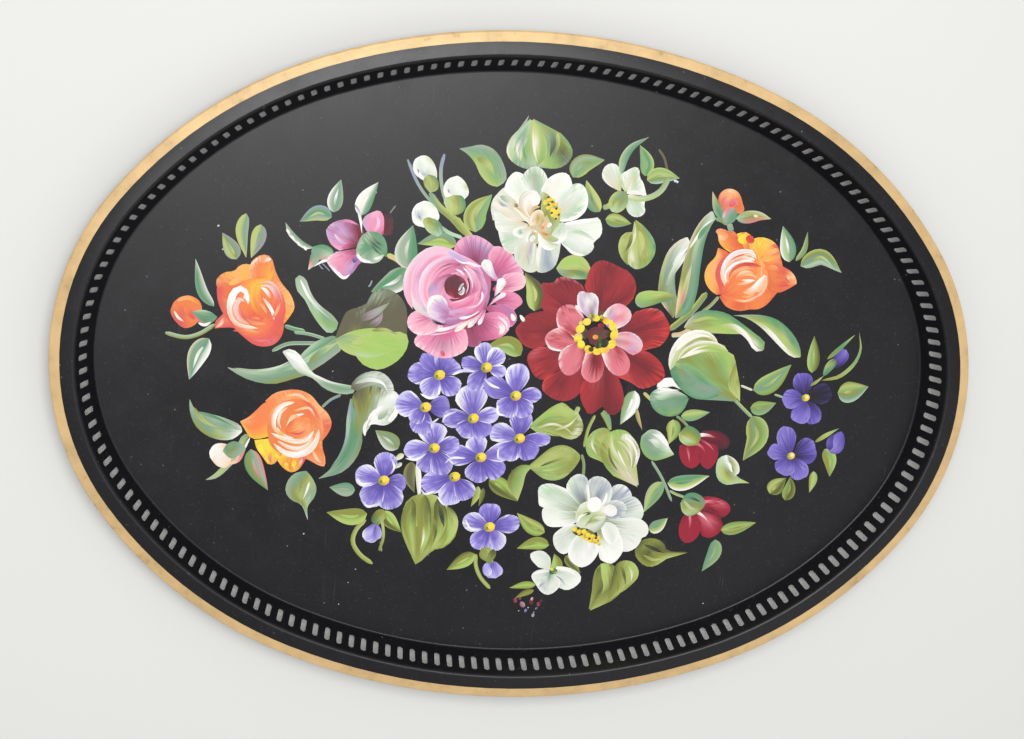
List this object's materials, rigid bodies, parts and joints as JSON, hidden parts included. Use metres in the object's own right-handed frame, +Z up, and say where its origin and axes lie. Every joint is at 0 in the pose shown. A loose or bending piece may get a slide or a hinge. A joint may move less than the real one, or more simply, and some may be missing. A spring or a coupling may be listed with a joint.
{
  "type": "painted tray",
  "caption": "Oval pressed-steel serving tray with a pierced upright gallery, a curled wired edge, a gold border and a hand-painted bouquet on a black ground.",
  "frame": {"origin": "middle of the underside, on the surface the tray stands on", "axes": "+X along the tray's length, +Y across its width towards the top of the bouquet, +Z up out of the tray"},
  "size_m": [0.572, 0.4178, 0.024],
  "materials": {
    "black_lacquer": "satin black ground coat over pressed steel, varnished, with light scratches and dust",
    "wire_steel": "drawn wire, hidden inside the curled edge",
    "gold_paint": "pale gold paint brushed along the rim, lightly worn at the edge",
    "pink_paint": "pink oil paint in loaded brush strokes under clear varnish",
    "red_paint": "red oil paint in loaded brush strokes under clear varnish",
    "white_paint": "white oil paint in loaded brush strokes under clear varnish",
    "orange_paint": "orange oil paint in loaded brush strokes under clear varnish",
    "mauve_paint": "mauve oil paint in loaded brush strokes under clear varnish",
    "crimson_paint": "crimson oil paint in loaded brush strokes under clear varnish",
    "violet_paint": "violet oil paint in loaded brush strokes under clear varnish",
    "dark_violet_paint": "dark violet oil paint in loaded brush strokes under clear varnish",
    "leaf_paint": "leaf oil paint in loaded brush strokes under clear varnish"
  },
  "bodies": {
    "root": {"tray_pan": "black_lacquer", "rim_wire": "wire_steel", "gold_border": "gold_paint", "pink_rose": "pink_paint", "red_dahlia": "red_paint", "white_peony": "white_paint", "white_anemone": "white_paint", "orange_rose_upper_left": "orange_paint", "orange_rose_lower_left": "orange_paint", "orange_rose_right": "orange_paint", "pink_tulips": "mauve_paint", "orange_buds": "orange_paint", "white_buds": "white_paint", "white_blossoms": "white_paint", "crimson_buds": "crimson_paint", "light_violets": "violet_paint", "dark_violets": "dark_violet_paint", "broad_leaves": "leaf_paint", "long_leaves": "leaf_paint", "small_leaves": "leaf_paint", "stems": "leaf_paint"}
  },
  "joints": []
}
